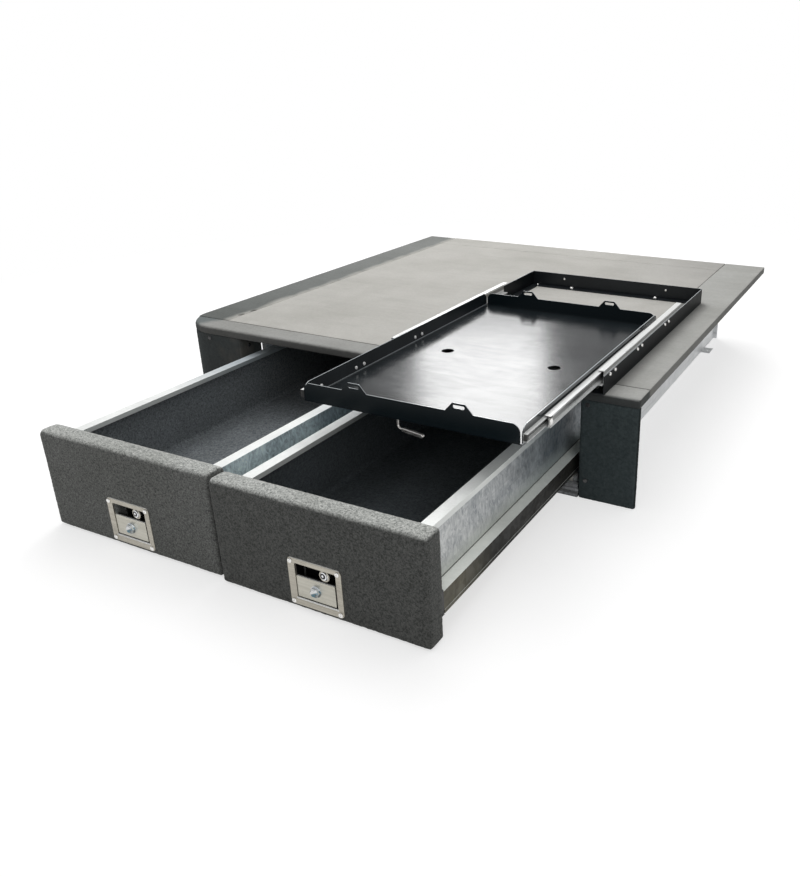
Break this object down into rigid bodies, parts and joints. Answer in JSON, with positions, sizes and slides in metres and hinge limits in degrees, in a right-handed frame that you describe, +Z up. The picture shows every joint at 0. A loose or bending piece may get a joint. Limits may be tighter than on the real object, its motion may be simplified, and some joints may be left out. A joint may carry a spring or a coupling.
{
  "type": "double drawer system",
  "caption": "Low vehicle cargo unit: side-by-side carpeted drawers on rollers under a load deck, with paddle latches and a sliding fridge tray on telescopic slides.",
  "frame": {"origin": "centre of the housing's base, midway between the drawers and between the four hold-down holes, on the floor", "axes": "+X to the right, +Y to the back, away from the drawers' faces, +Z up"},
  "size_m": [1.488, 2.199, 0.39],
  "materials": {
    "galvanised": "spangled galvanised sheet",
    "zinc": "bright zinc plate",
    "cage_steel": "plain pressed steel",
    "deck_carpet": "plywood under warm grey needle-felt carpet",
    "wing_carpet": "plywood under mid grey needle-felt carpet",
    "infill_carpet": "plywood under dark carpet",
    "fascia_carpet": "plywood under charcoal heather carpet",
    "liner_carpet": "near-black carpet",
    "plywood": "bare plywood",
    "runner_steel": "dark oiled steel",
    "cap_plastic": "moulded black",
    "nylon": "natural nylon",
    "stainless": "satin stainless",
    "chrome": "polished",
    "screw_steel": "bright zinc",
    "bolt_steel": "bright zinc",
    "frame_black": "textured powder coat",
    "tray_black": "gloss powder coat",
    "lever_steel": "bright zinc"
  },
  "bodies": {
    "housing": {"base_sill": "galvanised", "cross_members": "galvanised", "drawer_rails": "galvanised", "left_side_frame": "galvanised", "right_side_frame": "galvanised", "centre_divider": "galvanised", "rear_panel": "galvanised", "deck_board": "deck_carpet", "rear_board": "deck_carpet", "nose_board": "deck_carpet", "left_wing_board": "wing_carpet", "right_wing_board": "wing_carpet", "left_infill_panel": "infill_carpet", "right_infill_panel": "infill_carpet", "wing_brackets": "galvanised", "panel_screws": "screw_steel", "latch_keepers": "zinc", "front_axles": "galvanised", "fridge_frame": "frame_black", "frame_bolts": "bolt_steel", "fixed_slides": "zinc"},
    "left_drawer": {"left_fascia": "fascia_carpet", "left_end_walls": "galvanised", "left_drawer_sides": "galvanised", "left_runners": "runner_steel", "left_runner_caps": "cap_plastic", "left_floor": "plywood", "left_liner": "liner_carpet", "left_rear_axles": "galvanised", "left_latch_plate": "stainless", "left_latch_screws": "screw_steel"},
    "left_front_rollers": {"left_front_rollers": "nylon"},
    "left_rear_rollers": {"left_rear_rollers": "nylon"},
    "left_paddle": {"left_paddle": "stainless", "left_paddle_knob": "chrome"},
    "left_lock": {"left_lock_barrel": "chrome"},
    "left_tongue": {"left_latch_tongue": "zinc"},
    "right_drawer": {"right_fascia": "fascia_carpet", "right_end_walls": "galvanised", "right_drawer_sides": "galvanised", "right_runners": "runner_steel", "right_runner_caps": "cap_plastic", "right_floor": "plywood", "right_liner": "liner_carpet", "right_rear_axles": "galvanised", "right_latch_plate": "stainless", "right_latch_screws": "screw_steel"},
    "right_front_rollers": {"right_front_rollers": "nylon"},
    "right_rear_rollers": {"right_rear_rollers": "nylon"},
    "right_paddle": {"right_paddle": "stainless", "right_paddle_knob": "chrome"},
    "right_lock": {"right_lock_barrel": "chrome"},
    "right_tongue": {"right_latch_tongue": "zinc"},
    "outer_cages": {"outer_ball_cages": "cage_steel"},
    "slide_middle": {"middle_slides": "zinc"},
    "inner_cages": {"inner_ball_cages": "cage_steel"},
    "fridge_tray": {"fridge_tray": "tray_black", "inner_slides": "zinc", "tray_bolts": "bolt_steel"},
    "lever": {"release_lever": "lever_steel"}
  },
  "joints": [
    {"name": "left_drawer_slide", "type": "slide", "parent": "housing", "child": "left_drawer", "axis": [0, -1, 0], "range_m": [-0.627, 0.223]},
    {"name": "left_front_roller_spin", "type": "hinge", "parent": "housing", "child": "left_front_rollers", "pos_m": [-0.268, -0.715, 0.0367], "axis": [1, 0, 0], "range_deg": [-2000, 800]},
    {"name": "left_rear_roller_spin", "type": "hinge", "parent": "left_drawer", "child": "left_rear_rollers", "pos_m": [-0.268, -0.039, 0.0335], "axis": [1, 0, 0], "range_deg": [-2000, 800]},
    {"name": "left_paddle_hinge", "type": "hinge", "parent": "left_drawer", "child": "left_paddle", "pos_m": [-0.2675, -1.4215, 0.08], "axis": [-1, 0, 0], "range_deg": [0, 35], "stiffness_Nm_per_rad": 0.6, "springref_deg": -20.05},
    {"name": "left_lock_turn", "type": "hinge", "parent": "left_drawer", "child": "left_lock", "pos_m": [-0.247, -1.427, 0.099], "axis": [0, -1, 0], "range_deg": [0, 90]},
    {"name": "left_tongue_lift", "type": "slide", "parent": "left_drawer", "child": "left_tongue", "axis": [0, 0, 1], "range_m": [0, 0.006]},
    {"name": "right_drawer_slide", "type": "slide", "parent": "housing", "child": "right_drawer", "axis": [0, -1, 0], "range_m": [-0.638, 0.212]},
    {"name": "right_front_roller_spin", "type": "hinge", "parent": "housing", "child": "right_front_rollers", "pos_m": [0.268, -0.715, 0.0367], "axis": [1, 0, 0], "range_deg": [-2000, 800]},
    {"name": "right_rear_roller_spin", "type": "hinge", "parent": "right_drawer", "child": "right_rear_rollers", "pos_m": [0.268, -0.05, 0.0335], "axis": [1, 0, 0], "range_deg": [-2000, 800]},
    {"name": "right_paddle_hinge", "type": "hinge", "parent": "right_drawer", "child": "right_paddle", "pos_m": [0.2685, -1.4325, 0.08], "axis": [-1, 0, 0], "range_deg": [0, 35], "stiffness_Nm_per_rad": 0.6, "springref_deg": -20.05},
    {"name": "right_lock_turn", "type": "hinge", "parent": "right_drawer", "child": "right_lock", "pos_m": [0.289, -1.438, 0.099], "axis": [0, -1, 0], "range_deg": [0, 90]},
    {"name": "right_tongue_lift", "type": "slide", "parent": "right_drawer", "child": "right_tongue", "axis": [0, 0, 1], "range_m": [0, 0.006]},
    {"name": "slide_middle_travel", "type": "slide", "parent": "housing", "child": "slide_middle", "axis": [0, -1, 0], "range_m": [-0.295, 0.03]},
    {"name": "tray_travel", "type": "slide", "parent": "slide_middle", "child": "fridge_tray", "axis": [0, -1, 0], "range_m": [-0.095, 0.225]},
    {"name": "outer_cage_travel", "type": "slide", "parent": "housing", "child": "outer_cages", "axis": [0, -1, 0], "range_m": [-0.15, 0.02]},
    {"name": "inner_cage_travel", "type": "slide", "parent": "slide_middle", "child": "inner_cages", "axis": [0, -1, 0], "range_m": [-0.05, 0.115]},
    {"name": "lever_turn", "type": "hinge", "parent": "fridge_tray", "child": "lever", "pos_m": [0.287, -1.1495, 0.305], "axis": [0, 0, 1], "range_deg": [0, 20], "stiffness_Nm_per_rad": 0.5, "springref_deg": -17.19}
  ],
  "couplings": [
    {"joint": "left_front_roller_spin", "follows": "left_drawer_slide", "rad_per_m": 52.632},
    {"joint": "left_rear_roller_spin", "follows": "left_drawer_slide", "rad_per_m": 52.632},
    {"joint": "left_tongue_lift", "follows": "left_paddle_hinge", "m_per_rad": 0.0098},
    {"joint": "right_front_roller_spin", "follows": "right_drawer_slide", "rad_per_m": 52.632},
    {"joint": "right_rear_roller_spin", "follows": "right_drawer_slide", "rad_per_m": 52.632},
    {"joint": "right_tongue_lift", "follows": "right_paddle_hinge", "m_per_rad": 0.0098},
    {"joint": "outer_cage_travel", "follows": "slide_middle_travel", "ratio": 0.5},
    {"joint": "inner_cage_travel", "follows": "tray_travel", "ratio": 0.5}
  ]
}
